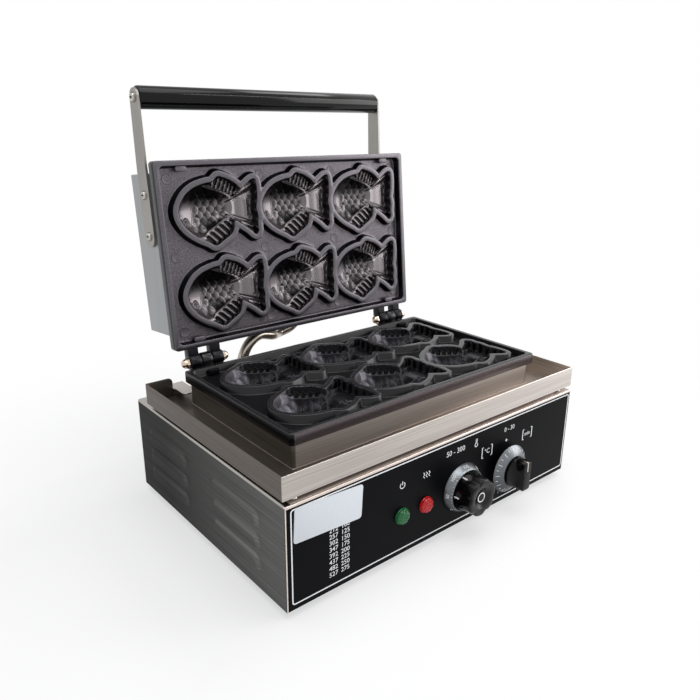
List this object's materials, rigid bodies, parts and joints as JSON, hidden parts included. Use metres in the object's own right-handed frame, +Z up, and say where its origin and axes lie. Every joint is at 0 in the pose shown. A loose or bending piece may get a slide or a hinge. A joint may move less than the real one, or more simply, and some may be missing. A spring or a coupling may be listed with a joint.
{
  "type": "taiyaki maker",
  "caption": "Countertop maker for fish-shaped filled cakes: heated base with spill tray, lower mould plate, and hinged heated upper mould plate with tubular handle",
  "frame": {"origin": "under the middle of the whole object as pictured (lid open on its stop), on the surface that the feet stand on", "axes": "+X to the right as seen by the user, +Y from the control panel to the rear, +Z up"},
  "size_m": [0.389, 0.3549, 0.4145],
  "materials": {
    "stainless": "brushed",
    "zinc_steel": "plain",
    "plated_fasteners": "bright",
    "brass": "polished",
    "coated_cast": "speckled non-stick coating",
    "heater_tube": "oxidised",
    "copper": "plain",
    "ceramic_wool": "matt",
    "rubber": "matt",
    "black_print": "satin print",
    "label": "matt",
    "grip_plastic": "gloss",
    "knob_plastic": "satin",
    "dial_metal": "turned",
    "green_lens": "clear",
    "red_lens": "clear",
    "white_moulding": "plain",
    "ceramic": "plain",
    "gland_plastic": "plain"
  },
  "bodies": {
    "base": {"casing": "stainless", "front_panel": "stainless", "panel_overlay": "black_print", "blank_label": "label", "back_panel": "stainless", "bottom_cover": "zinc_steel", "feet": "rubber", "foot_screws": "plated_fasteners", "casing_screws": "plated_fasteners", "spill_tray": "stainless", "tray_spacers": "zinc_steel", "riser_frame": "stainless", "tray_screws": "plated_fasteners", "rear_bracket_left": "stainless", "rear_bracket_right": "stainless", "lower_plate": "coated_cast", "lower_heater": "heater_tube", "lower_clamp_plate": "zinc_steel", "lower_insulation": "ceramic_wool", "lower_tie_studs": "plated_fasteners", "lower_tie_nuts": "plated_fasteners", "hinge_bolts": "plated_fasteners", "hinge_nuts": "brass", "thermostat_body": "white_moulding", "thermostat_bulb": "copper", "thermostat_dial": "dial_metal", "timer_body": "white_moulding", "shaft_nuts": "plated_fasteners", "green_lamp_lens": "green_lens", "red_lamp_lens": "red_lens", "lamp_bodies": "white_moulding", "lamp_nuts": "plated_fasteners", "terminal_block": "ceramic", "earth_stud": "brass", "cord_gland": "gland_plastic", "cord_gland_nut": "gland_plastic", "conduit_gland_base": "plated_fasteners", "wiring_conduit": "plated_fasteners"},
    "lid": {"upper_plate": "coated_cast", "upper_heater": "heater_tube", "upper_clamp_plate": "zinc_steel", "upper_insulation": "ceramic_wool", "upper_studs": "plated_fasteners", "upper_nuts": "plated_fasteners", "lid_shell": "stainless", "lid_cover": "stainless", "lid_cover_screws": "plated_fasteners", "lid_shell_screws": "plated_fasteners", "handle_arm_left": "stainless", "handle_arm_right": "stainless", "arm_screws": "plated_fasteners", "handle_grip": "grip_plastic", "grip_screws": "plated_fasteners", "conduit_gland_lid": "plated_fasteners"},
    "thermostat_control": {"thermostat_knob": "knob_plastic", "thermostat_shaft": "plated_fasteners"},
    "timer_control": {"timer_knob": "knob_plastic", "timer_dial": "dial_metal", "timer_shaft": "plated_fasteners"}
  },
  "joints": [
    {"name": "lid_hinge", "type": "hinge", "parent": "base", "child": "lid", "pos_m": [0, 0.08372, 0.1473], "axis": [1, 0, 0], "range_deg": [0, 95.7], "deforming": ["wiring_conduit"]},
    {"name": "thermostat_turn", "type": "hinge", "parent": "base", "child": "thermostat_control", "pos_m": [0.015, -0.15848, 0.0485], "axis": [0, 1, 0], "range_deg": [0, 270]},
    {"name": "timer_turn", "type": "hinge", "parent": "base", "child": "timer_control", "pos_m": [0.081, -0.15848, 0.0485], "axis": [0, 1, 0], "range_deg": [0, 300]}
  ]
}
